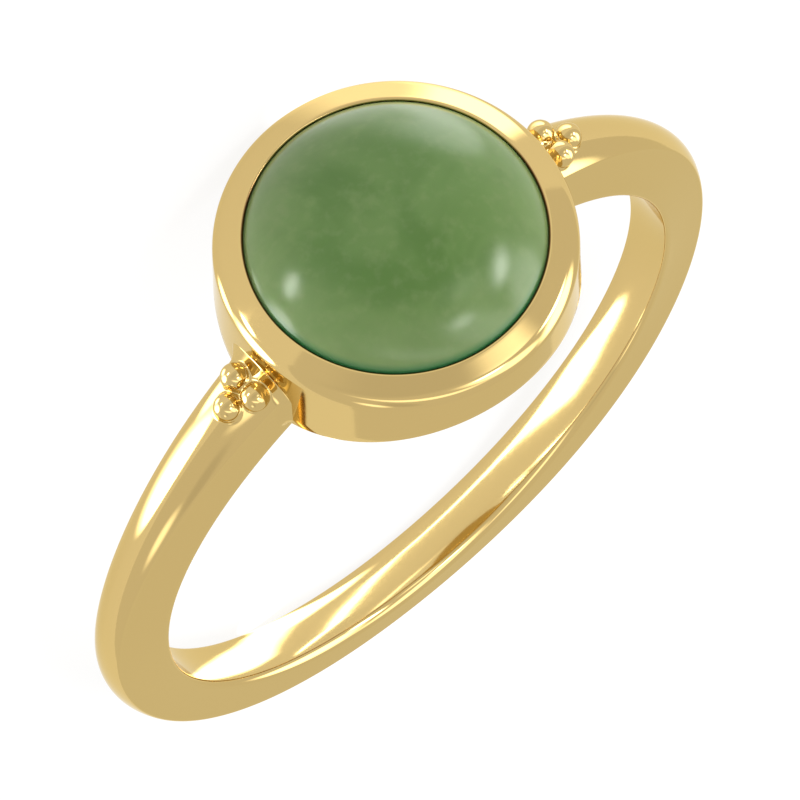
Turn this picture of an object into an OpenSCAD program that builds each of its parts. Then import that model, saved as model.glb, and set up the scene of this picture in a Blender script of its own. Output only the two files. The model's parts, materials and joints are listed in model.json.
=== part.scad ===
// Cabochon ring: a round domed stone in a plain bezel cup on a tapering gold band,
// with a triangle of three small balls soldered to each shoulder.
//
// The ring is drawn in its own upright frame: X across the ring, Y out through the stone,
// Z along the finger hole, with the hole's centre at the origin. It is then laid on its side
// about that centre, tilted as it rests on a table on the cup's foot and the back of the band.
// Heights are measured outwards from the surface that touches the finger.

/* [Finger hole] */
// Inside diameter of the band, a US size 7
finger_d = 17.3; // [15:0.1:21]

/* [Stone] */
// Widest diameter of the round cabochon
stone_d = 8; // [6.5:0.1:9]
// Height of the dome above its widest line
dome_h = 2.13; // [1.8:0.01:2.6]
// Radius of the tight curve round the dome's edge
edge_r = 1.3; // [1:0.05:1.4]
// Depth of the stone below its widest line
skirt_h = 0.48; // [0.3:0.02:0.6]
// How far the skirt narrows down to the flat base
skirt_taper = 0.15; // [0.05:0.01:0.3]
// Gap between the stone and its cup, all round
seat_gap = 0.06; // [0.03:0.01:0.1]

/* [Bezel cup] */
// Height of the cup's underside above the finger
cup_base_h = 0.44; // [0.3:0.02:0.6]
// Height of the floor under the stone above the finger
cup_floor_h = 0.94; // [0.8:0.02:1.1]
// Height of the crease between wall and sloped rim above the finger
crease_h = 1.875; // [1.5:0.025:1.9]
// Height of the lip above the finger
lip_h = 2.16; // [2.1:0.02:2.3]
// Thickness of the metal between the stone's widest line and the crease
cup_wall = 0.61; // [0.45:0.01:0.9]
// How far the wall flares for each millimetre below the crease
cup_flare = 0.021; // [0:0.001:0.05]
// Rounding of the crease between wall and sloped rim
crease_round = 0.42; // [0.1:0.01:0.44]
// Rounding of the lip beside the stone
lip_round = 0.05; // [0.02:0.01:0.07]

/* [Band] */
// Distance along the band between two drawn sections, in degrees
section_step = 5; // [4, 5, 6, 8]

/* [Granules] */
// Diameter of each soldered ball
granule_d = 0.72; // [0.5:0.02:0.8]
// Place of the pair next to the stone, in degrees from the stone's axis
pair_angle = 29.1; // [28.5:0.1:31]
// Place of the third ball, in degrees from the stone's axis
apex_angle = 32.8; // [32.4:0.1:35]
// Distance between the centres of the pair
pair_gap = 0.78; // [0.72:0.02:0.9]
// How far both triangles sit towards the side of the band that faces up at rest
granule_shift = 0.06; // [0:0.01:0.1]
// Height of the balls' centres above the finger
granule_h = 1.95; // [1.85:0.01:2]

/* [Hidden] */
$fn = 96;

// Sizes of the band at five places from the stone round to the back. A row for each place:
// degrees from the stone, width at the finger, width at the ridge where the side turns into
// the crown, height of the side, rise of the crown above it, rounding of the inner edge.
BAND = [
    [  0, 2.02, 1.97, 1.49, 0.53, 0.06],
    [ 45, 1.78, 1.45, 1.45, 0.36, 0.07],
    [ 90, 1.44, 0.99, 1.52, 0.18, 0.07],
    [135, 1.48, 1.46, 1.33, 0.28, 0.17],
    [180, 1.61, 1.55, 1.04, 0.42, 0.27],
];
PLACE = 0;
WIDTH = 1;
RIDGE = 2;
SIDE = 3;
CROWN = 4;
EDGE = 5;

finger_r = finger_d / 2;
stone_r = stone_d / 2;
cup_r = stone_r + cup_wall;
saddle_r = finger_r + cup_base_h;
crease_y = finger_r + crease_h;
// Where the sloped rim turns into the lip, just outside the stone
lip_x = stone_r - 0.1;
stone_y = finger_r + cup_floor_h + seat_gap + skirt_h;
edge_steps = 3;
crown_steps = 8;
round_steps = 6;
lip_steps = 3;
edge_turn_steps = 10;
dome_steps = 12;
// How far the band and the cup are drawn past a surface that is then cut off them
spare = 0.3;
// The band's inner wall starts this far above the finger, so that its facets clear the hole
lift = 0.02;

// The cup's wall radius where its underside meets the saddle, and the ridge at the band's back
cup_foot_r = cup_r + cup_flare * (crease_y - saddle_r);
back_ridge_r = finger_r + band_size(SIDE, 180);
back_ridge_z = band_size(RIDGE, 180) / 2;
// Tilt at which the lowest points of the cup and of the band's back are level
rest_tilt = atan((cup_foot_r - back_ridge_z) / (saddle_r + back_ridge_r));

// Weight of one row of the table at an angle: the smooth curve through all rows, which
// leaves the stone's axis and the back square to them
function row_weight(row, angle, k = 0) =
    k == len(BAND) ? 1 :
    (k == row ? 1 : (cos(angle) - cos(BAND[k][PLACE])) / (cos(BAND[row][PLACE]) - cos(BAND[k][PLACE])))
    * row_weight(row, angle, k + 1);

// One size of the band at any angle from the stone
function band_size(column, angle, row = 0) =
    row == len(BAND) ? 0 :
    BAND[row][column] * row_weight(row, angle) + band_size(column, angle, row + 1);

// Points of an arc about a centre, from one angle to another
function arc(centre, r, from, to, steps) = [
    for (k = [0 : steps])
        let (a = from + (to - from) * k / steps)
            centre + r * [cos(a), sin(a)]
];

// Outline of the band at an angle, as [along the finger hole, out from its centre]
function band_section(angle) =
    let (
        half = band_size(WIDTH, angle) / 2,
        ridge = band_size(RIDGE, angle) / 2,
        side_r = finger_r + band_size(SIDE, angle),
        crown = band_size(CROWN, angle),
        edge = band_size(EDGE, angle),
        crown_r = (ridge * ridge + crown * crown) / (2 * crown),
        crown_span = asin(ridge / crown_r),
        inner = half - edge
    )
    concat(
        [[-inner, finger_r - spare], [inner, finger_r - spare]],
        arc([inner, finger_r + edge + lift], edge, -90, 0, edge_steps),
        arc([0, side_r + crown - crown_r], crown_r, 90 - crown_span, 90 + crown_span, crown_steps),
        arc([-inner, finger_r + edge + lift], edge, 180, 270, edge_steps)
    );

// A section's point at its place round the ring
function around(point, angle) = [point.y * sin(angle), point.y * cos(angle), point.x];

// The band: its section swept round the finger hole and closed on itself
module band() {
    sections = [for (angle = [0 : section_step : 359]) band_section(angle <= 180 ? angle : 360 - angle)];
    rows = len(sections);
    columns = len(sections[0]);
    points = [for (i = [0 : rows - 1]) for (point = sections[i]) around(point, i * section_step)];
    faces = [
        for (i = [0 : rows - 1])
            for (j = [0 : columns - 1])
                let (
                    next_i = (i + 1) % rows,
                    next_j = (j + 1) % columns,
                    a = i * columns + j,
                    b = i * columns + next_j,
                    c = next_i * columns + next_j,
                    d = next_i * columns + j
                )
                    for (face = [[a, b, d], [b, c, d]]) face
    ];
    polyhedron(points = points, faces = faces, convexity = 4);
}

// Turns a shape drawn round Z so that it stands round the stone's axis
module on_stone_axis() {
    rotate([-90, 0, 0]) children();
}

// Outline of the cup from its axis out to the wall, round the crease and over the lip
function cup_outline() =
    let (
        bottom = sqrt(saddle_r * saddle_r - cup_foot_r * cup_foot_r) - spare,
        lip_y = finger_r + lip_h,
        slope = atan((lip_y - crease_y) / (cup_r - lip_x)),
        lean = atan(cup_flare),
        turn = 90 - slope - lean,
        reach = crease_round * tan(turn / 2),
        // Centre of the crease's rounding, which touches the wall and the sloped rim
        crease = [
            cup_r + reach * sin(lean) - crease_round * cos(lean),
            crease_y - reach * cos(lean) - crease_round * sin(lean)
        ]
    )
    concat(
        [[0, bottom], [cup_r + cup_flare * (crease_y - bottom), bottom]],
        arc(crease, crease_round, lean, 90 - slope, round_steps),
        arc([lip_x, lip_y - lip_round], lip_round, 90 - slope, 90, lip_steps),
        [[0, lip_y]]
    );

// The cup: a turned block with its underside hollowed to sit round the band
module bezel_cup() {
    difference() {
        on_stone_axis() rotate_extrude() polygon(cup_outline());
        cylinder(r = saddle_r, h = 4 * cup_r, center = true);
    }
}

// One ball, at its angle from the stone and its distance from the middle of the band
module granule(angle, z) {
    rotate([0, 0, -angle]) translate([0, finger_r + granule_h, granule_shift + z])
        sphere(d = granule_d, $fn = 48);
}

// Three balls in a triangle on one shoulder: a pair by the stone and one behind it
module granule_triangle() {
    for (z = [-pair_gap / 2, pair_gap / 2])
        granule(pair_angle, z);
    granule(apex_angle, 0);
}

module granules() {
    granule_triangle();
    mirror([1, 0, 0]) granule_triangle();
}

// Outline of the stone from its base to its top, grown by the gap to give the room it sits in
function stone_outline(grow) =
    let (
        rim_x = stone_r - edge_r,
        crown_r = (rim_x * rim_x + dome_h * dome_h - edge_r * edge_r) / (2 * (dome_h - edge_r)),
        crown_y = stone_y + dome_h - crown_r,
        // Angle at which the tight edge curve passes into the wide crown curve
        turn = atan((stone_y - crown_y) / rim_x),
        base_y = stone_y - skirt_h - grow
    )
    concat(
        [[0, base_y], [stone_r - skirt_taper + grow, base_y]],
        arc([rim_x, stone_y], edge_r + grow, 0, turn, edge_turn_steps),
        arc([0, crown_y], crown_r + grow, turn + (90 - turn) / dome_steps, 90, dome_steps - 1)
    );

module stone_body(grow) {
    on_stone_axis() rotate_extrude() polygon(stone_outline(grow));
}

// Lays the upright ring on its side, stone towards -Y, as it rests
module laid_down() {
    rotate([rest_tilt, 0, 180]) children();
}

module gold_mount() {
    color([0.80, 0.66, 0.38]) laid_down() difference() {
        union() {
            band();
            bezel_cup();
            granules();
        }
        stone_body(seat_gap);
        cylinder(r = finger_r, h = 4 * cup_r, center = true);
    }
}

module cabochon() {
    color([0.45, 0.58, 0.34]) laid_down() stone_body(0);
}

gold_mount();
cabochon();
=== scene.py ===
# %% [markdown]
# A cabochon ring, polished and set.
#
# The ring is a narrow gold band that is wide at the stone and low at the back, a round bezel cup,
# six little balls soldered to the shoulders, and one domed green stone held under the cup's lip.
# A goldsmith files and polishes it until only reflections show its shape. So the surfaces here are
# built from the same few sizes as the ring itself, finely enough that reflections run smoothly.

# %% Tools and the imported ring
import json
import math

import bmesh
import bpy
import numpy as np
from mathutils import Matrix, Vector


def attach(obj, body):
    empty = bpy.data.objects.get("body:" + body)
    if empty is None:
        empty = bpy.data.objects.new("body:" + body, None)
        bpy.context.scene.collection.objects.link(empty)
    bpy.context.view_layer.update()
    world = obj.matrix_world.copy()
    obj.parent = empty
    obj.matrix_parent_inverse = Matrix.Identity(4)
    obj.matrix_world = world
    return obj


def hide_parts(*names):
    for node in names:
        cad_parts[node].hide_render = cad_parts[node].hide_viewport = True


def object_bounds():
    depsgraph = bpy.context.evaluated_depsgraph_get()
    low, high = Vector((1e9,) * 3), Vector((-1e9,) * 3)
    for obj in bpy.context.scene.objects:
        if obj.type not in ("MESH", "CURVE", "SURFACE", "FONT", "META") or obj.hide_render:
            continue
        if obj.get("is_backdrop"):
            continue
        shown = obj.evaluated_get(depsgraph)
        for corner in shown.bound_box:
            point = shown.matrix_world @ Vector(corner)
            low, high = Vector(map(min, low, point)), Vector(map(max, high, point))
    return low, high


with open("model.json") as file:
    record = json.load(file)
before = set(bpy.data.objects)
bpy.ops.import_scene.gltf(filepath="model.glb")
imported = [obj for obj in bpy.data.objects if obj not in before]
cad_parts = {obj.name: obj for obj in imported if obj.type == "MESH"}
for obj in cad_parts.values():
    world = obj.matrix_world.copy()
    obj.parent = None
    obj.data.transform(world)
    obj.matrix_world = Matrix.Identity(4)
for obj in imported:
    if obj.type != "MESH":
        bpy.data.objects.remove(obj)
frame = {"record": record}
cad_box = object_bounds()
MM = 0.001
finger_hole = frame["record"]["mounts"][0]
FINGER_R = finger_hole["dims"]["r_mm"] * MM
REST_TILT = math.atan2(finger_hole["axis"][1], finger_hole["axis"][2])
print("finger hole radius", round(FINGER_R / MM, 3), "mm, tilt", round(math.degrees(REST_TILT), 2))

# %% [markdown]
# The ring has a frame of its own: x across the ring, y out through the stone, z along the finger
# hole. Every piece is drawn in it, and is then laid on its side, tilted as a ring rests on a table
# on the foot of its cup and the back of its band.

# %% Laying the ring down
LAID_DOWN = Matrix.Rotation(math.pi, 4, "Z") @ Matrix.Rotation(REST_TILT, 4, "X")
# Points closer than this are one point
SAME_POINT = 0.0005 * MM


def lay_down(points):
    """Points of the upright ring, as they lie on the table."""
    turn = np.array(LAID_DOWN.to_3x3())
    return np.asarray(points) @ turn.T


def mesh_object(name, points, faces, material):
    """A smooth mesh object from points and faces, with its normals outwards."""
    mesh = bpy.data.meshes.new(name)
    mesh.from_pydata([tuple(p) for p in points], [], faces)
    mesh.materials.append(material)
    shape = bmesh.new()
    shape.from_mesh(mesh)
    bmesh.ops.remove_doubles(shape, verts=shape.verts, dist=SAME_POINT)
    bmesh.ops.recalc_face_normals(shape, faces=shape.faces)
    shape.to_mesh(mesh)
    shape.free()
    mesh.shade_smooth()
    made = bpy.data.objects.new(name, mesh)
    bpy.context.scene.collection.objects.link(made)
    print(name, len(mesh.polygons), "faces")
    return made


print("the stone points to", [round(part, 3) for part in LAID_DOWN @ Vector((0, 1, 0))])

# %% [markdown]
# Materials are written as small node trees. These helpers add a node and link what feeds it, pass
# smoothly from one value to another, and find a place in the upright ring's own frame.

# %% Material helpers
def new_material(name):
    """A new node material and its Principled shader."""
    material = bpy.data.materials.new(name)
    material.use_nodes = True
    return material, material.node_tree.nodes["Principled BSDF"]


def fill(tree, socket, value):
    """Links a socket to another one, or sets it to a plain value."""
    if isinstance(value, bpy.types.NodeSocket):
        tree.links.new(value, socket)
    else:
        socket.default_value = value


def add_node(tree, kind, settings=None, **inputs):
    """Adds a node and fills its inputs, which go by name, or by number after an i."""
    node = tree.nodes.new(kind)
    for key, value in (settings or {}).items():
        setattr(node, key, value)
    for key, value in inputs.items():
        name = int(key[1:]) if key[1:].isdigit() else key.replace("_", " ")
        fill(tree, node.inputs[name], value)
    return node


def vector_math(tree, operation, *values):
    """A Vector Math node's result, which is a number where the operation gives one."""
    node = add_node(tree, "ShaderNodeVectorMath", {"operation": operation})
    for socket, value in zip(node.inputs, values):
        fill(tree, socket, value)
    gives_number = operation in ("DOT_PRODUCT", "DISTANCE", "LENGTH")
    return node.outputs["Value" if gives_number else "Vector"]


def ranged(tree, value, low, high, start=0.0, end=1.0):
    """Passes smoothly from start to end while the value goes from low to high."""
    node = add_node(
        tree, "ShaderNodeMapRange", {"interpolation_type": "SMOOTHSTEP"}, Value=value,
        From_Min=low, From_Max=high, To_Min=start, To_Max=end,
    )
    return node.outputs[0]


def product(tree, *parts):
    """Several numbers multiplied."""
    whole = parts[0]
    for part in parts[1:]:
        node = add_node(tree, "ShaderNodeMath", {"operation": "MULTIPLY"}, i0=whole, i1=part)
        whole = node.outputs[0]
    return whole


def mix_tints(tree, part, below, above):
    """A colour that passes from below to above as part goes from 0 to 1."""
    mixed = add_node(tree, "ShaderNodeMix", {"data_type": "RGBA"}, i0=part, i6=below, i7=above)
    return mixed.outputs[2]


def upright_place(tree, place):
    """Height out along the stone's axis, and the way out from that axis, in the upright ring."""
    upright = add_node(
        tree, "ShaderNodeMapping", {"vector_type": "TEXTURE"}, Vector=place,
        Rotation=LAID_DOWN.to_euler(),
    )
    height = vector_math(tree, "DOT_PRODUCT", upright.outputs[0], (0, 1, 0))
    return height, vector_math(tree, "MULTIPLY", upright.outputs[0], (1, 0, 1))


print("materials so far", len(bpy.data.materials))

# %% [markdown]
# Polished yellow gold. Paint is a colour under a clear skin, but a metal only mirrors the room and
# tints it. So the material is a metal with a gold tint and a low roughness. Real polish isn't even:
# the wheel leaves faint waves and hair-fine scratches, so a slow noise bends the surface by
# microns, a fine one roughens it a little, and scratches lie over both. In the narrow seam round
# the stone a dark brown line is painted shade, for the shadow in the gap under the lip, on one
# side only.

# %% Gold
GOLD_TINT = (0.64, 0.465, 0.185, 1.0)
# Tint of what is seen at a flat angle, where gold stays warm
GOLD_EDGE = (0.94, 0.87, 0.66, 1.0)
GOLD_ROUGHNESS = (0.05, 0.10)
WAVE_SIZE = 1.6 * MM
WAVE_DEPTH = 0.004 * MM
GRAIN_SIZE = 0.12 * MM
# Scratches are narrow across and long the other way, and run aslant
SCRATCHES_PER_MM = 1.2
SCRATCH_DEPTH = 0.00012 * MM
SCRATCH_TURN = (0.3, 0.5, 0.2)
SCRATCH_SQUEEZE = (1, 14, 14)
# The seam lies within this distance of the stone's axis, above this height in the upright ring,
# and its painted shade, a dark brown line, lies on this side of it and to both sides
SEAM_SHADE_TINT = (0.20, 0.085, 0.035, 1.0)
SEAM_R = 3.91 * MM
SEAM_FROM = 9.9 * MM
UPPER_SIDE = (-0.55, 0.0, 0.835)


def polished_gold():
    """Metal with faint polishing waves and fine wear, and painted shade in the seam."""
    material, shader = new_material("polished_gold")
    tree = material.node_tree
    place = add_node(tree, "ShaderNodeTexCoord").outputs["Object"]
    waves = add_node(tree, "ShaderNodeTexNoise", Vector=place, Scale=1 / WAVE_SIZE, Detail=1.0)
    grain = add_node(tree, "ShaderNodeTexNoise", Vector=place, Scale=1 / GRAIN_SIZE, Detail=4.0)
    stretched = add_node(
        tree, "ShaderNodeMapping", Vector=place, Rotation=SCRATCH_TURN, Scale=SCRATCH_SQUEEZE,
    )
    scratches = add_node(
        tree, "ShaderNodeTexNoise", Vector=stretched.outputs[0], Scale=SCRATCHES_PER_MM / MM, Detail=6.0,
    )
    smoothest, roughest = GOLD_ROUGHNESS
    rough = add_node(
        tree, "ShaderNodeMapRange", Value=grain.outputs[0], To_Min=smoothest, To_Max=roughest,
    )
    soft = add_node(
        tree, "ShaderNodeBump", Strength=1.0, Distance=WAVE_DEPTH, Height=waves.outputs[0],
    )
    fine = add_node(
        tree, "ShaderNodeBump", Strength=1.0, Distance=SCRATCH_DEPTH, Height=scratches.outputs[0],
        Normal=soft.outputs[0],
    )
    height, off_axis = upright_place(tree, place)
    toward_side = vector_math(tree, "DOT_PRODUCT", off_axis, UPPER_SIDE)
    # Painted shade: a dark brown line in the seam round the stone, where the lip shades the gap, on one
    # side only
    seam = product(
        tree,
        ranged(tree, vector_math(tree, "LENGTH", off_axis), 0.99 * SEAM_R, SEAM_R, 1.0, 0.0),
        ranged(tree, height, SEAM_FROM, SEAM_FROM + 0.1 * MM),
        ranged(tree, toward_side, -0.75 * SEAM_R, -0.35 * SEAM_R),
    )
    tree.links.new(mix_tints(tree, seam, GOLD_TINT, SEAM_SHADE_TINT), shader.inputs["Base Color"])
    shader.inputs["Metallic"].default_value = 1.0
    shader.inputs["Specular Tint"].default_value = GOLD_EDGE
    tree.links.new(rough.outputs[0], shader.inputs["Roughness"])
    tree.links.new(fine.outputs[0], shader.inputs["Normal"])
    return material


gold = polished_gold()
print("gold tint", GOLD_TINT[:3])

# %% [markdown]
# The ring's sizes, in metres here. The band's section is flat where it touches the finger, has a
# rounded inner edge, an upright side, and a low crown over a soft ridge, and all of these change
# round the ring. A goldsmith draws that as a few sections, and so does this: five rows of sizes,
# and a smooth curve through them in the cosine of the angle, which keeps both sides even.

# %% Sizes of the band
# A row for each place: degrees from the stone, then full width at the finger, full width at the
# ridge, height of the side, rise of the crown and rounding of the inner edge, in millimetres
BAND_SIZES = ("Width", "Ridge", "Side", "Crown", "Edge")
BAND = (
    (0, 2.02, 1.97, 1.49, 0.53, 0.06),
    (45, 1.78, 1.45, 1.45, 0.36, 0.07),
    (90, 1.44, 0.99, 1.52, 0.18, 0.07),
    (135, 1.48, 1.46, 1.33, 0.28, 0.17),
    (180, 1.61, 1.55, 1.04, 0.42, 0.27),
)
RIDGE_ROUND = 0.10 * MM
# Under the cup the band thins to a strip, between these angles from the stone
STRIP_ANGLES = (math.radians(23.2), math.radians(25.2))
STRIP_KEEP = 0.24
# Solder: hollow at the cup's wall, which starts between these heights, and round each granule
SOLDER_R = 0.26 * MM
SOLDER_HEIGHTS = (0.40 * MM, 0.60 * MM)
SEAT_R = 0.11 * MM
print("band", BAND[0][1], "mm wide at the stone,", BAND[2][1], "mm at the side")

# %% [markdown]
# The stone's sizes set the cup's. Its wall stands round the stone's widest line, and its lip ends
# just inside that line, over the stone's edge. Heights are counted out from the finger. The cup
# could be fitted by eye, but then it wouldn't follow if the stone's size changed.

# %% Sizes of the stone, the cup and the granules
STONE_R = 4.0 * MM
DOME_H = 2.13 * MM
SKIRT_H = 0.48 * MM
SKIRT_TAPER = 0.15 * MM
SEAT_GAP = 0.06 * MM
LIP_GAP = 0.02 * MM
CUP_FLOOR_H = 0.94 * MM
CUP_BASE_H = 0.44 * MM
CREASE_H = 1.88 * MM
LIP_H = 2.16 * MM
CUP_WALL = 0.625 * MM
CUP_FLARE = 0.021
CREASE_ROUND = 0.42 * MM
LIP_ROUND = 0.09 * MM
LIP_REACH = 0.08 * MM
BASE_ROUND = 0.07 * MM

CUP_R = STONE_R + CUP_WALL
CREASE_Y = FINGER_R + CREASE_H
LIP_Y = FINGER_R + LIP_H
SADDLE_R = FINGER_R + CUP_BASE_H
FLOOR_Y = FINGER_R + CUP_FLOOR_H
STONE_Y = FLOOR_Y + SEAT_GAP + SKIRT_H

GRANULES = {
    "Granule Radius": 0.36 * MM,
    "Pair Angle": math.radians(29.1),
    "Apex Angle": math.radians(32.8),
    "Pair Gap": 0.78 * MM,
    "Shift": 0.06 * MM,
    "Granule Height": FINGER_R + 1.95 * MM,
}
print("cup", round(2 * CUP_R / MM, 2), "mm across, stone", round(2 * STONE_R / MM, 2), "mm")

# %% [markdown]
# Shapes that follow a rule are grown by Geometry Nodes trees, which are written here with two small
# helpers: one turns formulas into Math nodes, and one makes a tree whose sizes are named inputs.

# %% Tree helpers
class Fields:
    """Writes small formulas as Math nodes in a Geometry Nodes tree."""

    def __init__(self, tree):
        self.tree = tree

    def math(self, operation, *values):
        node = add_node(self.tree, "ShaderNodeMath", {"operation": operation})
        for socket, value in zip(node.inputs, values):
            fill(self.tree, socket, value)
        return node.outputs[0]

    def vector(self, operation, *values):
        return vector_math(self.tree, operation, *values)

    def add(self, a, b):
        return self.math("ADD", a, b)

    def sub(self, a, b):
        return self.math("SUBTRACT", a, b)

    def mul(self, a, b):
        return self.math("MULTIPLY", a, b)

    def div(self, a, b):
        return self.math("DIVIDE", a, b)

    def sin(self, angle):
        return self.math("SINE", angle)

    def cos(self, angle):
        return self.math("COSINE", angle)

    def root(self, value):
        return self.math("SQRT", self.math("MAXIMUM", value, 0.0))

    def scaled(self, vector, factor):
        kind = {"operation": "SCALE"}
        node = add_node(self.tree, "ShaderNodeVectorMath", kind, i0=vector, Scale=factor)
        return node.outputs[0]

    def point(self, x, y, z):
        return add_node(self.tree, "ShaderNodeCombineXYZ", X=x, Y=y, Z=z).outputs[0]

    def step(self, value, low, high, smooth=False):
        """Goes from 0 to 1 while the value goes from low to high."""
        node = add_node(
            self.tree, "ShaderNodeMapRange", {"interpolation_type": "SMOOTHSTEP" if smooth else "LINEAR"},
            Value=value, From_Min=low, From_Max=high,
        )
        return node.outputs[0]

    def hollow(self, distance, radius):
        """Rise of a hollow of this radius at a distance from the wall that it leads to."""
        left = self.sub(1.0, self.step(distance, 0.0, radius))
        return self.mul(radius, self.mul(left, left))


def new_tree(name, sizes):
    """A Geometry Nodes tree with a named size input for each entry, and its values as defaults."""
    tree = bpy.data.node_groups.new(name, "GeometryNodeTree")
    tree.interface.new_socket("Geometry", in_out="INPUT", socket_type="NodeSocketGeometry")
    tree.interface.new_socket("Geometry", in_out="OUTPUT", socket_type="NodeSocketGeometry")
    for label, value in sizes.items():
        kind = "NodeSocketInt" if isinstance(value, int) else "NodeSocketFloat"
        tree.interface.new_socket(label, in_out="INPUT", socket_type=kind)
    source = tree.nodes.new("NodeGroupInput")
    target = tree.nodes.new("NodeGroupOutput")
    return tree, source, target


def finish_tree(tree, target, shape, material):
    """Lays the shape down, realizes it, shades it smooth and gives it its material."""
    laid = add_node(tree, "GeometryNodeTransform", Geometry=shape, Rotation=LAID_DOWN.to_euler())
    whole = add_node(tree, "GeometryNodeRealizeInstances", Geometry=laid.outputs[0])
    smooth = add_node(tree, "GeometryNodeSetShadeSmooth", Geometry=whole.outputs[0])
    dressed = add_node(
        tree, "GeometryNodeSetMaterial", Geometry=smooth.outputs[0], Material=material,
    )
    tree.links.new(dressed.outputs[0], target.inputs[0])


def grow(name, tree, sizes):
    """An empty mesh object that the tree grows a shape on, with these sizes."""
    seed = bpy.data.objects.new(name, bpy.data.meshes.new(name + "_seed"))
    bpy.context.scene.collection.objects.link(seed)
    modifier = seed.modifiers.new("shape", "NODES")
    modifier.node_group = tree
    for item in tree.interface.items_tree:
        if item.in_out == "INPUT" and item.name in sizes:
            modifier[item.identifier] = sizes[item.name]
    return seed


def settle(seed):
    """Turns an object with modifiers into a plain mesh object at the origin."""
    seen = seed.evaluated_get(bpy.context.evaluated_depsgraph_get())
    mesh = bpy.data.meshes.new_from_object(seen)
    name = seed.name
    old = seed.data
    seed.modifiers.clear()
    seed.data = mesh
    mesh.name = name
    bpy.data.meshes.remove(old)
    print(name, len(mesh.polygons), "faces")
    return seed


# %% [markdown]
# The band is swept: a circle of sections round the finger, each point of which a formula moves to
# its place, so each size stays a named input. It could be sculpted, but then the reflections would
# wobble. Close to the cup's wall and to the granules the surface lifts into a narrow hollow, as
# solder does when it is drawn into a corner, and the sections lie closest there.

# %% The band's sizes at any angle
SECTIONS = 520
OUTLINE_POINTS = 104
# Where the outline passes from the flat to the inner edge, the side, the ridge and the crown, as a
# part of the way from the middle of the flat to the middle of the crown
FLAT_END, EDGE_END, SIDE_END, RIDGE_END = 2 / 52, 8 / 52, 18 / 52, 22 / 52
# The shoulder starts under the cup, passes its wall and ends behind the granules. These are its
# angles, and the part of the half ring's sections that lies before each of them
SHOULDER_ANGLES = (math.radians(22), math.radians(28.5), math.radians(38))
SHOULDER_PARTS = (14 / 260, 50 / 260, 140 / 260)


def sizes_at(f, size, cosine):
    """The band's sizes at each point: every row of the table, weighed by the cosine of the angle."""
    places = [math.cos(math.radians(row[0])) for row in BAND]
    weights = []
    for own in places:
        weight = 1.0
        for other in places:
            if other != own:
                weight = f.mul(weight, f.div(f.sub(cosine, other), own - other))
        weights.append(weight)
    at = {}
    for label in BAND_SIZES:
        at[label] = 0.0
        for weight, row in zip(weights, BAND):
            at[label] = f.add(at[label], f.mul(weight, size[f"{label} at {row[0]}"]))
    return at


print("band of", SECTIONS, "sections with", OUTLINE_POINTS, "points each")

# %% [markdown]
# One half of the band's section runs from the middle of the flat that touches the finger, round the
# inner edge, up the side, over the soft ridge and along the crown to its middle. A point's way
# along it, from 0 to 1, says which of these stretches it is on. Each stretch adds its own part to
# the point's place, so no stretch needs a case of its own.

# %% A point of the section
def section_point(f, at, way, rounding):
    """Place of a point of the half outline across the band and above the finger, and its facing."""
    flat = f.step(way, 0.0, FLAT_END)
    turned = f.mul(f.step(way, FLAT_END, EDGE_END), math.pi / 2)
    risen = f.step(way, EDGE_END, SIDE_END)
    rounded = f.step(way, SIDE_END, RIDGE_END)
    crowned = f.step(way, RIDGE_END, 1.0)

    half, ridge = f.mul(at["Width"], 0.5), f.mul(at["Ridge"], 0.5)
    crown, edge = at["Crown"], at["Edge"]
    radius = f.div(f.add(f.mul(ridge, ridge), f.mul(crown, crown)), f.mul(crown, 2.0))
    reach = f.sub(ridge, rounding)
    long_side = f.sub(radius, rounding)
    rise = f.math("SQRT", f.sub(f.mul(long_side, long_side), f.mul(reach, reach)))
    ridge_height = f.add(f.sub(f.add(at["Side"], crown), radius), rise)
    meeting = f.math("ARCTAN2", rise, reach)
    on_ridge = f.mul(meeting, rounded)
    on_crown = f.add(meeting, f.mul(f.sub(math.pi / 2, meeting), crowned))

    across = f.add(f.mul(f.sub(half, edge), flat), f.mul(edge, f.sin(turned)))
    across = f.add(across, f.mul(f.sub(ridge, half), risen))
    across = f.add(across, f.mul(rounding, f.sub(f.cos(on_ridge), 1.0)))
    across = f.add(across, f.mul(radius, f.sub(f.cos(on_crown), f.cos(meeting))))
    height = f.add(f.mul(edge, f.sub(1.0, f.cos(turned))), f.mul(f.sub(ridge_height, edge), risen))
    height = f.add(height, f.mul(rounding, f.sin(on_ridge)))
    height = f.add(height, f.mul(radius, f.sub(f.sin(on_crown), f.sin(meeting))))
    facing = f.add(f.sub(turned, math.pi / 2), f.add(on_ridge, f.sub(on_crown, meeting)))
    return across, height, facing


print("side ends at", round(SIDE_END, 3), "and ridge at", round(RIDGE_END, 3), "of the half section")

# %% [markdown]
# Melted solder is drawn into a corner and sets as a hollow. A real fillet could be cut into the
# mesh, but the band's own points can do it: those close to the cup's wall are lifted along the
# wall, and those close to a ball are lifted outwards, by less the further off they are.

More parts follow.
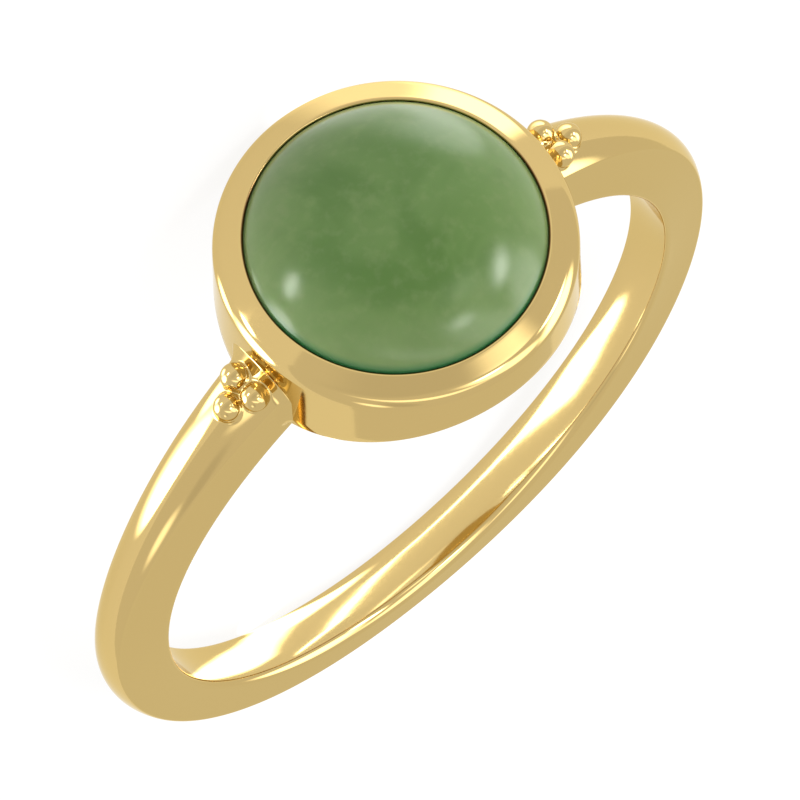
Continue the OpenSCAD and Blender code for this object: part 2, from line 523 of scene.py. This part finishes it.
# %% Solder at the cup and the granules
def soldered(f, size, place, out, height):
    """The place of a point once solder has drawn it up the cup's wall and round the granules."""
    axis = (0.0, 1.0, 0.0)
    up = f.vector("DOT_PRODUCT", place, axis)
    off_axis = f.vector("MULTIPLY", place, (1.0, 0.0, 1.0))
    wall = f.add(size["Cup Radius"], f.mul(size["Cup Flare"], f.sub(size["Crease Y"], up)))
    gap = f.sub(f.vector("LENGTH", off_axis), wall)
    started = f.step(height, SOLDER_HEIGHTS[0], SOLDER_HEIGHTS[1], smooth=True)
    started = f.mul(started, f.math("GREATER_THAN", up, 0.0))
    at_wall = f.mul(started, f.hollow(gap, size["Solder Radius"]))
    from_axis = f.vector("NORMALIZE", off_axis)
    along_wall = f.vector("SUBTRACT", out, f.scaled(from_axis, f.vector("DOT_PRODUCT", out, from_axis)))

    at_seats = 0.0
    for angle, side in (("Pair Angle", -0.5), ("Pair Angle", 0.5), ("Apex Angle", 0.0)):
        middle = f.point(
            f.mul(size["Granule Height"], f.sin(size[angle])),
            f.mul(size["Granule Height"], f.cos(size[angle])),
            f.add(f.mul(size["Pair Gap"], side), size["Shift"]),
        )
        gap = f.sub(f.vector("DISTANCE", place, middle), size["Granule Radius"])
        at_seats = f.math("MAXIMUM", at_seats, f.hollow(gap, size["Seat Radius"]))
    at_seats = f.math("MAXIMUM", f.sub(at_seats, at_wall), 0.0)

    raised = f.vector("ADD", place, f.scaled(f.vector("NORMALIZE", along_wall), at_wall))
    return f.vector("ADD", raised, f.scaled(out, at_seats))


print("solder reaches", round(SOLDER_R / MM, 2), "mm at the cup,", round(SEAT_R / MM, 2), "at a ball")

# %% [markdown]
# Now the sweep itself. A circle of sections and a circle of outline points give a plain torus of
# the right number of points, and two captured values tell each point which section and which place
# in it it has. The formulas then put it where it belongs, so the torus's own size doesn't matter.

# %% The sweep
# Distance under the crease at which the sections on the shoulder meet the cup's wall
WALL_DEPTH = 1.5 * MM


def band_tree(sizes):
    """Sweeps the changing section round the finger hole."""
    tree, source, target = new_tree("band", sizes)
    size = source.outputs
    f = Fields(tree)
    index = add_node(tree, "GeometryNodeInputIndex").outputs[0]

    ring = add_node(tree, "GeometryNodeMeshCircle", Vertices=size["Sections"], Radius=1.0)
    ring_curve = add_node(tree, "GeometryNodeMeshToCurve", Mesh=ring.outputs[0])
    path = add_node(tree, "GeometryNodeCaptureAttribute", Geometry=ring_curve.outputs[0])
    path.capture_items.new("FLOAT", "turn")
    tree.links.new(f.div(index, size["Sections"]), path.inputs[1])
    outline = add_node(
        tree, "GeometryNodeCurvePrimitiveCircle", Resolution=size["Outline Points"], Radius=0.1,
    )
    profile = add_node(tree, "GeometryNodeCaptureAttribute", Geometry=outline.outputs[0])
    profile.capture_items.new("FLOAT", "way")
    tree.links.new(f.div(index, size["Outline Points"]), profile.inputs[1])
    swept = tree.nodes.new("GeometryNodeCurveToMesh")
    tree.links.new(path.outputs[0], swept.inputs["Curve"])
    tree.links.new(profile.outputs[0], swept.inputs["Profile Curve"])

    side_way = f.sub(1.0, f.mul(profile.outputs[1], 2.0))
    way = f.math("ABSOLUTE", side_way)
    hand = f.math("SIGN", side_way)
    ring_side = f.math("SIGN", f.sub(0.5, path.outputs[1]))

    # The angle from the stone grows slowly over the shoulder, where the sections lean a little, so
    # that one of them runs along the cup's wall from the finger to the crown
    part = f.mul(f.math("PINGPONG", path.outputs[1], 0.5), 2.0)
    near, at_cup, far = SHOULDER_ANGLES
    upright = f.mul(f.step(part, 0.0, SHOULDER_PARTS[0]), near)
    stretches = (
        (SHOULDER_PARTS[0], SHOULDER_PARTS[1], at_cup - near),
        (SHOULDER_PARTS[1], SHOULDER_PARTS[2], far - at_cup),
        (SHOULDER_PARTS[2], 1.0, math.pi - far),
    )
    for start, end, turned in stretches:
        upright = f.add(upright, f.mul(f.step(part, start, end), turned))
    at = sizes_at(f, size, f.cos(upright))
    across, height, facing = section_point(f, at, way, size["Ridge Rounding"])
    cup = f.add(size["Cup Radius"], f.mul(size["Cup Flare"], WALL_DEPTH))
    reach = f.root(f.sub(f.mul(cup, cup), f.mul(across, across)))
    lean = f.sub(f.math("ARCSINE", f.div(reach, f.add(size["Finger Radius"], height))), at_cup)
    strength = f.sub(f.step(upright, near, at_cup), f.step(upright, at_cup, far))
    angle = f.add(upright, f.mul(lean, strength))

    # The section's own point, and then where it lies on the ring
    at = sizes_at(f, size, f.cos(angle))
    across, height, facing = section_point(f, at, way, size["Ridge Rounding"])
    kept = f.step(angle, STRIP_ANGLES[0], STRIP_ANGLES[1], smooth=True)
    height = f.mul(height, f.add(STRIP_KEEP, f.mul(kept, 1.0 - STRIP_KEEP)))
    far_out = f.add(size["Finger Radius"], height)
    sine, cosine = f.sin(angle), f.cos(angle)
    place = f.point(f.mul(far_out, sine), f.mul(far_out, cosine), f.mul(across, hand))
    rise = f.sin(facing)
    out = f.point(f.mul(rise, sine), f.mul(rise, cosine), f.mul(f.cos(facing), hand))
    moved = soldered(f, size, place, out, height)
    moved = f.vector("MULTIPLY", moved, f.point(ring_side, 1.0, 1.0))
    shaped = add_node(tree, "GeometryNodeSetPosition", Geometry=swept.outputs[0], Position=moved)
    return tree, target, shaped.outputs[0]


print("shoulder angles", [round(math.degrees(angle), 1) for angle in SHOULDER_ANGLES])

# %% [markdown]
# The tree gets its sizes by name, all five rows of the band's table among them, and runs on an
# empty object. Its result is kept as a plain mesh, because only a plain mesh takes the place of a
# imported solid.

# %% Growing the band
band_inputs = {
    "Finger Radius": FINGER_R,
    "Sections": SECTIONS,
    "Outline Points": OUTLINE_POINTS,
    "Ridge Rounding": RIDGE_ROUND,
    "Cup Radius": CUP_R,
    "Cup Flare": CUP_FLARE,
    "Crease Y": CREASE_Y,
    "Solder Radius": SOLDER_R,
    "Seat Radius": SEAT_R,
}
band_inputs.update(GRANULES)
for row in BAND:
    for column, label in enumerate(BAND_SIZES, start=1):
        band_inputs[f"{label} at {row[0]}"] = row[column] * MM
tree, target, shape = band_tree(band_inputs)
finish_tree(tree, target, shape, gold)
band = settle(grow("band", tree, band_inputs))

# %% [markdown]
# The bezel cup is turned: one outline spun about the stone's axis. Its wall flares a little towards
# the finger, a rounded crease leads to the sloped rim, and a thin lip closes over the stone's edge.
# The underside isn't turned, because it is hollowed to sit round the finger, so its points follow
# a cylinder about the finger hole instead. A plain loop over rings of points gives both.

# %% Outlines that are spun
# Points round each spun shape, and along each stretch of an outline
AROUND = 240
CREASE_STEPS = 18
SLOPE_STEPS = 6
LIP_STEPS = 24
SEAT_STEPS = 30
DOME_STEPS = 72


def arc(centre, radius, start, end, steps):
    """Points of an arc about a centre, with angles in radians."""
    return [
        (centre[0] + radius * math.cos(a), centre[1] + radius * math.sin(a))
        for a in (start + (end - start) * k / steps for k in range(steps + 1))
    ]


def line(a, b, steps):
    """Points from a to b, without a."""
    return [
        (a[0] + (b[0] - a[0]) * k / steps, a[1] + (b[1] - a[1]) * k / steps) for k in range(1, steps + 1)
    ]


def spun_faces(count):
    """Faces between neighbouring copies of an outline with this many points."""
    faces = []
    for i in range(AROUND):
        a, b = i * count, ((i + 1) % AROUND) * count
        for j in range(count - 1):
            faces.append((a + j, a + j + 1, b + j + 1, b + j))
    return faces


def dome_outline(grown, steps):
    """The stone's half dome, an ellipse, from its widest point up to the top."""
    return [
        ((STONE_R + grown) * math.cos(a), STONE_Y + (DOME_H + grown) * math.sin(a))
        for a in (math.pi / 2 * k / steps for k in range(steps + 1))
    ]


print("spun shapes have", AROUND, "points round them")

# %% [markdown]
# The cup's outline is drawn in the order in which a file would follow it: round the crease, down
# the slope, over the lip, and then back inside along the stone, a hair's breadth away from it, to
# the floor that the stone sits on. Points of the lip that would touch the stone are left out.

# %% The cup's outline
def clear_of_stone(point):
    """Whether a point of the outline lies outside the stone's dome and the gap round it."""
    across = point[0] / (STONE_R + LIP_GAP)
    up = (point[1] - STONE_Y) / (DOME_H + LIP_GAP)
    return math.hypot(across, up) > 1.0


def cup_outline():
    """The cup's outline from its wall over crease, rim and lip into the seat and to its middle."""
    lip = (STONE_R - LIP_REACH, LIP_Y - LIP_ROUND)
    slope = math.atan2(LIP_Y - CREASE_Y, CUP_R - lip[0])
    lean = math.atan(CUP_FLARE)
    reach = CREASE_ROUND * math.tan((math.pi / 2 - slope - lean) / 2)
    crease = (
        CUP_R + reach * math.sin(lean) - CREASE_ROUND * math.cos(lean),
        CREASE_Y - reach * math.cos(lean) - CREASE_ROUND * math.sin(lean),
    )
    points = arc(crease, CREASE_ROUND, lean, math.pi / 2 - slope, CREASE_STEPS)
    lip_points = arc(lip, LIP_ROUND, math.pi / 2 - slope, math.pi, LIP_STEPS)
    lip_points = [p for p in lip_points if clear_of_stone(p)]
    points += line(points[-1], lip_points[0], SLOPE_STEPS)
    points += lip_points[1:]
    below_lip = points[-1][1] - 0.01 * MM
    seat = [p for p in dome_outline(LIP_GAP, SEAT_STEPS) if p[1] < below_lip]
    points += seat[::-1]
    points += [(STONE_R + LIP_GAP, FLOOR_Y), (0.0, FLOOR_Y)]
    return points


print("cup's outline has", len(cup_outline()), "points")

# %% [markdown]
# The underside follows the finger, so its height changes round the cup. Each copy of the outline
# therefore gets its own underside, its own rounded foot and its own stretch of wall above it.

# %% The cup
def saddle_y(x):
    """Height of the cup's underside at a distance x from the ring's middle."""
    return math.sqrt(max(SADDLE_R ** 2 - x ** 2, 0.0))


def build_cup():
    """Spins the outline, and closes the cup with its hollowed underside."""
    outline = cup_outline()
    wall_steps, base_steps, floor_steps = 8, 4, 14
    points = []
    for k in range(AROUND):
        turn = math.tau * k / AROUND
        c, s = math.cos(turn), math.sin(turn)
        foot_r = CUP_R + CUP_FLARE * (CREASE_Y - saddle_y(CUP_R * c))
        foot_y = saddle_y(foot_r * c)
        foot_r = CUP_R + CUP_FLARE * (CREASE_Y - foot_y)
        column = []
        for j in range(floor_steps):
            r = (foot_r - BASE_ROUND) * j / floor_steps
            column.append((r, saddle_y(r * c)))
        corner = (foot_r - BASE_ROUND, saddle_y((foot_r - BASE_ROUND) * c) + BASE_ROUND)
        column += arc(corner, BASE_ROUND, -math.pi / 2, 0.0, base_steps)
        column += line(column[-1], outline[0], wall_steps)
        column += outline[1:]
        points += [(r * c, y, r * s) for r, y in column]
    return points, spun_faces(len(column))


cup_points, cup_faces = build_cup()
bezel_cup = mesh_object("bezel_cup", lay_down(cup_points), cup_faces, gold)

# %% [markdown]
# The granules are three balls on each shoulder, a pair by the cup and one behind it. They repeat,
# so a Geometry Nodes tree sets six points on the band and puts a ball on each. Its inputs are the
# angles and the distances that a goldsmith would mark out.

# %% The granules' tree
def granule_tree(sizes):
    """Three balls in a triangle on each shoulder."""
    tree, source, target = new_tree("granules", sizes)
    size = source.outputs
    f = Fields(tree)
    index = add_node(tree, "GeometryNodeInputIndex").outputs[0]
    number = f.math("MODULO", index, 3.0)
    apex = f.math("GREATER_THAN", number, 1.5)
    hand = f.sub(f.mul(f.math("GREATER_THAN", index, 2.5), 2.0), 1.0)
    angle = f.add(size["Pair Angle"], f.mul(apex, f.sub(size["Apex Angle"], size["Pair Angle"])))
    beside = f.mul(f.mul(f.sub(number, 0.5), size["Pair Gap"]), f.sub(1.0, apex))
    place = f.point(
        f.mul(hand, f.mul(size["Granule Height"], f.sin(angle))),
        f.mul(size["Granule Height"], f.cos(angle)),
        f.add(beside, size["Shift"]),
    )
    dots = add_node(tree, "GeometryNodePoints", Count=6, Position=place)
    ball = add_node(
        tree, "GeometryNodeMeshUVSphere", Segments=40, Rings=24, Radius=size["Granule Radius"],
    )
    balls = add_node(
        tree, "GeometryNodeInstanceOnPoints", Points=dots.outputs[0], Instance=ball.outputs[0],
    )
    return tree, target, balls.outputs[0]


tree, target, shape = granule_tree(GRANULES)
finish_tree(tree, target, shape, gold)
granules = settle(grow("granules", tree, GRANULES))

# %% [markdown]
# The green stone lets some light in, so it has a little subsurface scattering under its polish.
# Its green is cloudy, as layers in the stone are uneven, and it is lighter towards the edge, a
# painted sheen of the pale room that the edge reflects. Along one side of the edge a dark teal is
# painted light, shining through from inside the stone. A painted picture could show that, but a
# noise for the clouds and a few formulas of the place on the stone need no picture.

# %% Green stone
STONE_DARK = (0.066, 0.138, 0.026, 1.0)
STONE_MID = (0.092, 0.168, 0.041, 1.0)
# Pale green of the random mottle, and also of the painted sheen towards the stone's edge
STONE_PALE_AND_SHEEN = (0.165, 0.225, 0.090, 1.0)
# Painted light: the dark teal that light shining through the stone's edge shows on one side
STONE_EDGE_LIGHT = (0.010, 0.125, 0.040, 1.0)
CLOUD_SIZE = 2.6 * MM
MOTTLE_SIZE = 0.35 * MM


def green_stone():
    """Cloudy translucent green under a glassy polish."""
    material, shader = new_material("green_stone")
    tree = material.node_tree
    place = add_node(tree, "ShaderNodeTexCoord").outputs["Object"]
    height, off_axis = upright_place(tree, place)
    distance = vector_math(tree, "LENGTH", off_axis)
    toward_side = vector_math(tree, "DOT_PRODUCT", off_axis, UPPER_SIDE)
    clouds = add_node(
        tree, "ShaderNodeTexNoise", Vector=place, Scale=1 / CLOUD_SIZE, Detail=3.0, Roughness=0.55,
        Distortion=0.8,
    )
    mottle = add_node(tree, "ShaderNodeTexNoise", Vector=place, Scale=1 / MOTTLE_SIZE, Detail=4.0)
    tint = mix_tints(tree, ranged(tree, clouds.outputs[0], 0.36, 0.62), STONE_DARK, STONE_MID)
    # Painted sheen: lighter towards the edge, where the edge reflects the pale room
    edge_sheen = ranged(tree, distance, 0.45 * STONE_R, 0.95 * STONE_R, end=0.55)
    tint = mix_tints(tree, edge_sheen, tint, STONE_PALE_AND_SHEEN)
    tint = mix_tints(tree, ranged(tree, mottle.outputs[0], 0.45, 0.75, end=0.25), tint, STONE_PALE_AND_SHEEN)
    # Painted light: a dark teal along one side of the edge, where light that passes through the stone
    # comes out
    edge_light = product(
        tree,
        ranged(tree, distance, 0.915 * STONE_R, 0.965 * STONE_R),
        ranged(tree, toward_side, 0.15 * STONE_R, 0.60 * STONE_R),
    )
    tree.links.new(mix_tints(tree, edge_light, tint, STONE_EDGE_LIGHT), shader.inputs["Base Color"])
    shader.inputs["Roughness"].default_value = 0.18
    shader.inputs["IOR"].default_value = 1.55
    shader.inputs["Specular Tint"].default_value = (0.65, 0.68, 0.62, 1.0)
    shader.inputs["Subsurface Weight"].default_value = 0.35
    shader.inputs["Subsurface Radius"].default_value = (0.5, 1.0, 0.4)
    shader.inputs["Subsurface Scale"].default_value = 0.8 * MM
    return material


stone_material = green_stone()
print("stone colours", STONE_DARK[:3], "to", STONE_PALE_AND_SHEEN[:3])

# %% [markdown]
# The cabochon is a stone cut without facets: a dome, a short skirt that the cup grips, and a flat
# back. It is spun like the cup. Its dome is half an ellipse, because a polished dome is steepest
# at its edge and nearly flat on top.

# %% The cabochon
def build_stone():
    """Spins the dome with its skirt and flat back."""
    middle = (0.0, STONE_Y - SKIRT_H)
    base = (STONE_R - SKIRT_TAPER, STONE_Y - SKIRT_H)
    outline = [middle] + line(middle, base, 6) + line(base, (STONE_R, STONE_Y), 4)
    outline += dome_outline(0.0, DOME_STEPS)[1:]
    points = []
    for k in range(AROUND):
        turn = math.tau * k / AROUND
        points += [(r * math.cos(turn), y, r * math.sin(turn)) for r, y in outline]
    return points, spun_faces(len(outline))


stone_points, stone_faces = build_stone()
cabochon = mesh_object("cabochon_stone", lay_down(stone_points), stone_faces, stone_material)

# %% [markdown]
# All the gold is one soldered piece, so its parts are joined into one mesh before it takes the
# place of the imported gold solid, and the stone takes the place of its own.

# %% Joining the gold
def join(name, objects):
    """Joins objects into one, and names it."""
    with bpy.context.temp_override(
        active_object=objects[0], object=objects[0], selected_objects=objects,
        selected_editable_objects=objects,
    ):
        bpy.ops.object.join()
    objects[0].name = name
    objects[0].data.name = name
    return objects[0]


gold_ring = join("gold_ring", [band, bezel_cup, granules])
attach(gold_ring, "root")
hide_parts("gold_mount")
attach(cabochon, "root")
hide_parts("cabochon")
print("gold ring", len(gold_ring.data.polygons), "faces")

# %% [markdown]
# The table is a plain white sheet, lit from below as a jeweller's light table is, so it stays white
# and nearly without shadow. It shines more strongly in a few places. They can't be seen on the
# white sheet itself, but the ring reflects them: they are the white streaks on the shoulder, on
# the cup's rim and inside the band, and a spot on the stone.

# %% Table
TABLE_SIZE = 1.2
TABLE_GLOW = 0.88
# Name, then place across and along the table, half length, half width, turn in degrees, softness
# of the edge and brightness, with lengths in millimetres
POOLS = (
    ("shoulder", 19.5, -10.0, 10.0, 5.0, -8, 0.22, 8.0),
    ("rim", -11.4, -14.8, 7.4, 3.2, 25, 0.45, 3.6),
    ("rim_top", -3.2, -11.8, 2.6, 1.0, 20, 0.50, 1.55),
    ("crease", 7.2, -9.8, 1.5, 1.3, 0, 0.30, 5.0),
    ("stone", 12.2, -19.8, 3.0, 2.4, -45, 0.40, 14.0),
    ("inside_right", -2.1, 4.1, 1.9, 0.55, -20, 0.10, 7.0),
    ("inside_back", 2.4, 6.9, 2.3, 0.65, 12, 0.20, 6.0),
)
table_z = cad_box[0][2]


def blend(tree, distance, softness, below, above):
    """A number that is above inside a distance of 1, and passes to below over a soft edge."""
    inside = ranged(tree, distance, 1 - softness, 1 + softness, 1.0, 0.0)
    return add_node(tree, "ShaderNodeMix", i0=inside, i2=below, i3=above).outputs[0]


def pale_table():
    """The sheet, with its glow and its pools of light."""
    material, shader = new_material("pale_table")
    tree = material.node_tree
    place = add_node(tree, "ShaderNodeTexCoord").outputs["Object"]
    glow = TABLE_GLOW
    for name, x, y, length, width, turn, softness, brightness in POOLS:
        seen = add_node(
            tree, "ShaderNodeMapping", {"vector_type": "TEXTURE", "label": name}, Vector=place,
            Location=(x * MM, y * MM, table_z), Rotation=(0, 0, math.radians(turn)),
            Scale=(length * MM, width * MM, 1.0),
        )
        distance = vector_math(tree, "LENGTH", seen.outputs[0])
        glow = blend(tree, distance, softness, glow, brightness)
    shader.inputs["Base Color"].default_value = (0.12, 0.12, 0.12, 1.0)
    shader.inputs["Roughness"].default_value = 0.9
    shader.inputs["Specular IOR Level"].default_value = 0.1
    shader.inputs["Emission Color"].default_value = (1.0, 1.0, 1.0, 1.0)
    tree.links.new(glow, shader.inputs["Emission Strength"])
    half = TABLE_SIZE / 2
    corners = [(x, y, table_z) for x, y in ((-half, -half), (half, -half), (half, half), (-half, half))]
    made = mesh_object("table", corners, [(0, 1, 2, 3)], material)
    if made.data.polygons[0].normal.z < 0:
        made.data.flip_normals()
    return made


table = pale_table()
table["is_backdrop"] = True

# %% [markdown]
# The camera keeps the photograph's angle to the ring: a long lens, from over the stone and a little
# to one side. Laid on its side, the ring is seen from above the table.

# %% Camera
# Directions of the view in the upright ring's own frame, read from the ellipses of the hole, the
# stone and the cup in the photograph
VIEW_RIGHT = (0.75007, -0.01555, 0.66117)
VIEW_UP = (0.59993, 0.43674, -0.67033)
VIEW_BACK = (-0.27834, 0.89945, 0.33691)
VIEW_FROM = (-65.254 * MM, 212.117 * MM, 78.923 * MM)
LENS = 405.0

camera_data = bpy.data.cameras.new("camera")
camera_data.lens = LENS
camera_data.sensor_width = 36.0
camera_data.clip_start = 0.01
camera_data.clip_end = 10.0
camera = bpy.data.objects.new("camera", camera_data)
bpy.context.scene.collection.objects.link(camera)
turn = Matrix([VIEW_RIGHT, VIEW_UP, VIEW_BACK]).transposed().to_4x4()
camera.matrix_world = Matrix.Translation(LAID_DOWN @ Vector(VIEW_FROM)) @ LAID_DOWN @ turn
bpy.context.scene.camera = camera
print("camera", [round(c / MM, 1) for c in camera.location])

# %% [markdown]
# Soft studio light. Polished gold shows nothing but its surroundings, so the room is what it would
# be round a jeweller's light table: even and pale, with soft boxes above. One in front lights the
# cup's rim, wide ones on the left and overhead light its crease, and small ones give the stone its
# spots. Two places are a little dimmer than the rest. All edges are soft, so the highlights fade
# gently. Lamps could be hung instead, but their places would be harder to read.

# %% Room
ROOM_LIGHT = 0.90
# Keeps a box from being repeated on the opposite side of the room
FAR_AWAY = 1000.0
# Name, then azimuth from -Y towards +X, elevation, half width and half height in degrees, softness
# of the edge and brightness
SOFT_BOXES = (
    ("front_box", -19, 35, 9, 7, 0.55, 2.7),
    ("high_box", -60, 74, 30, 12, 0.30, 2.7),
    ("back_box", -97, 41, 30, 14, 0.30, 4.2),
    ("stone_box", -51, 36, 4.6, 8, 0.75, 16.0),
    ("low_box", -12, 60, 5.5, 4.5, 0.70, 10.0),
    ("dim_corner", 108, 47, 16, 7, 0.50, 0.76),
    ("right_box", 116, 31, 9, 6, 0.60, 2.2),
    ("line_box", 62, 62, 7, 28, 0.40, 2.2),
    ("dim_side", 8, 26, 36, 13, 0.50, 0.8),
)


def toward(azimuth, elevation):
    """A direction in the room."""
    a, e = math.radians(azimuth), math.radians(elevation)
    return Vector((math.sin(a) * math.cos(e), -math.cos(a) * math.cos(e), math.sin(e)))


def studio_room():
    """An even room with soft boxes, as the world that surrounds the table."""
    world = bpy.data.worlds.new("studio")
    world.use_nodes = True
    tree = world.node_tree
    looked = add_node(tree, "ShaderNodeTexCoord").outputs["Object"]
    light = ROOM_LIGHT
    for name, azimuth, elevation, half_width, half_height, softness, brightness in SOFT_BOXES:
        middle = toward(azimuth, elevation)
        across = Vector((0, 0, 1)).cross(middle).normalized()
        upwards = middle.cross(across)
        across /= math.sin(math.radians(half_width))
        upwards /= math.sin(math.radians(half_height))
        spot = add_node(
            tree, "ShaderNodeCombineXYZ", {"label": name},
            X=vector_math(tree, "DOT_PRODUCT", looked, across),
            Y=vector_math(tree, "DOT_PRODUCT", looked, upwards),
        )
        ahead = vector_math(tree, "DOT_PRODUCT", looked, middle)
        distance = product(
            tree,
            vector_math(tree, "LENGTH", spot.outputs[0]),
            ranged(tree, ahead, 0.0, 0.05, FAR_AWAY, 1.0),
        )
        light = blend(tree, distance, softness, light, brightness)
    background = tree.nodes["Background"]
    background.inputs[0].default_value = (1.0, 1.0, 1.0, 1.0)
    tree.links.new(light, background.inputs[1])
    return world


scene = bpy.context.scene
scene.view_settings.view_transform = "Standard"
scene.world = studio_room()
print("soft boxes", [box[0] for box in SOFT_BOXES])

# %% [markdown]
# Last, the dressed ring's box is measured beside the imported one. They should differ only by
# hundredths of a millimetre, as the finer curves here reach a little past the plainer solids'.

# %% Sizes of the dressed ring, and the end
seen_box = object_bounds()
growth = np.ravel(seen_box) - np.ravel(cad_box)
print("box grows by", [round(float(side) / MM, 3) for side in growth], "mm")
